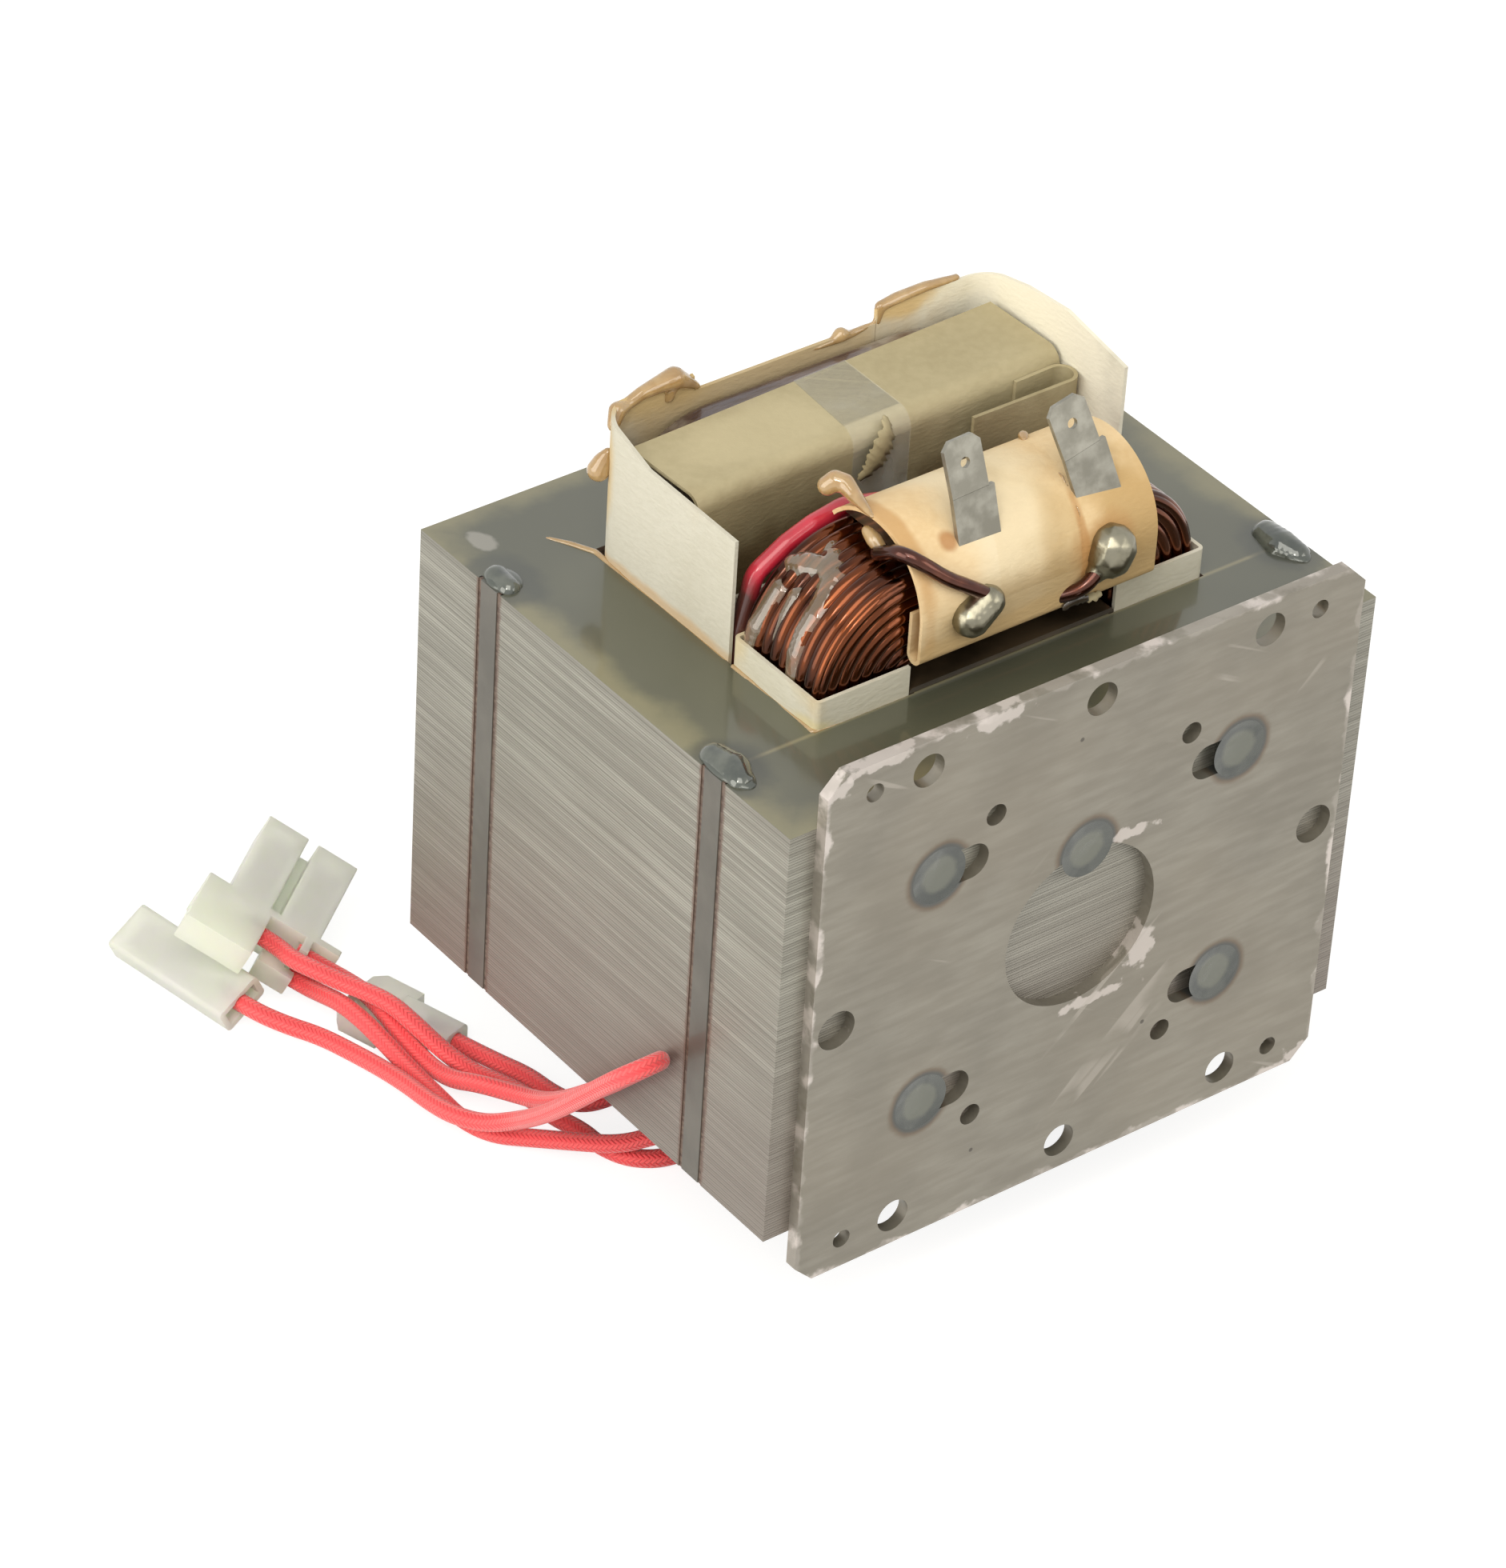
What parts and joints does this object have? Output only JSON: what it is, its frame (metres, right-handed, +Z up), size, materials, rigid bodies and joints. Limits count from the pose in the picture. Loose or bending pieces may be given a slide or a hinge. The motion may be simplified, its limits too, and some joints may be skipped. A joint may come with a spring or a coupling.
{
  "type": "high voltage transformer",
  "caption": "Microwave-oven style EI-core transformer with drilled base plate, copper primary, papered secondary, blade tabs and red braided leads with nylon housings.",
  "frame": {"origin": "on the floor, under the middle of the box round the object without its leads", "axes": "+X to the right along the base plate, +Y from the base plate into the core, +Z up along the stack of sheets"},
  "size_m": [0.1336, 0.1305, 0.1279],
  "materials": {
    "core_steel": "satin",
    "weld": "satin",
    "plate_steel": "satin",
    "cream_paper": "matte",
    "kraft_paper": "matte",
    "warm_paper": "satin",
    "copper": "gloss",
    "dark_winding": "gloss",
    "clear_tape": "gloss",
    "tinned_metal": "satin",
    "solder": "gloss",
    "red_lead": "matte",
    "nylon": "satin"
  },
  "bodies": {
    "root": {"e_laminations": "core_steel", "i_laminations": "core_steel", "shunt_left": "core_steel", "shunt_right": "core_steel", "seam_weld_front_left": "weld", "seam_weld_back_left": "weld", "seam_weld_front_right": "weld", "seam_weld_back_right": "weld", "plug_weld_lower_left": "weld", "plug_weld_upper_left": "weld", "plug_weld_lower_right": "weld", "plug_weld_upper_right": "weld", "plug_weld_window": "weld", "base_plate": "plate_steel", "fence_left": "cream_paper", "fence_right": "cream_paper", "primary_liner_left": "cream_paper", "primary_liner_right": "cream_paper", "leg_sleeve": "cream_paper", "shunt_paper_left": "cream_paper", "shunt_paper_right": "cream_paper", "crown_paper": "kraft_paper", "paper_curl": "kraft_paper", "lower_paper": "kraft_paper", "terminal_pad": "warm_paper", "pad_filler": "warm_paper", "primary_winding": "copper", "primary_lead_left": "copper", "primary_lead_right": "copper", "secondary_winding": "dark_winding", "crown_tape": "clear_tape", "tab_left": "tinned_metal", "tab_right": "tinned_metal", "twin_receptacle_left": "tinned_metal", "twin_receptacle_right": "tinned_metal", "flat_receptacle": "tinned_metal", "solder_left": "solder", "solder_right": "solder", "filament_winding": "red_lead", "filament_lead_low": "red_lead", "filament_lead_high": "red_lead", "jumper_lead": "red_lead", "secondary_lead": "red_lead", "twin_housing": "nylon", "flat_housing": "nylon", "tongue_housing": "nylon"}
  },
  "joints": []
}
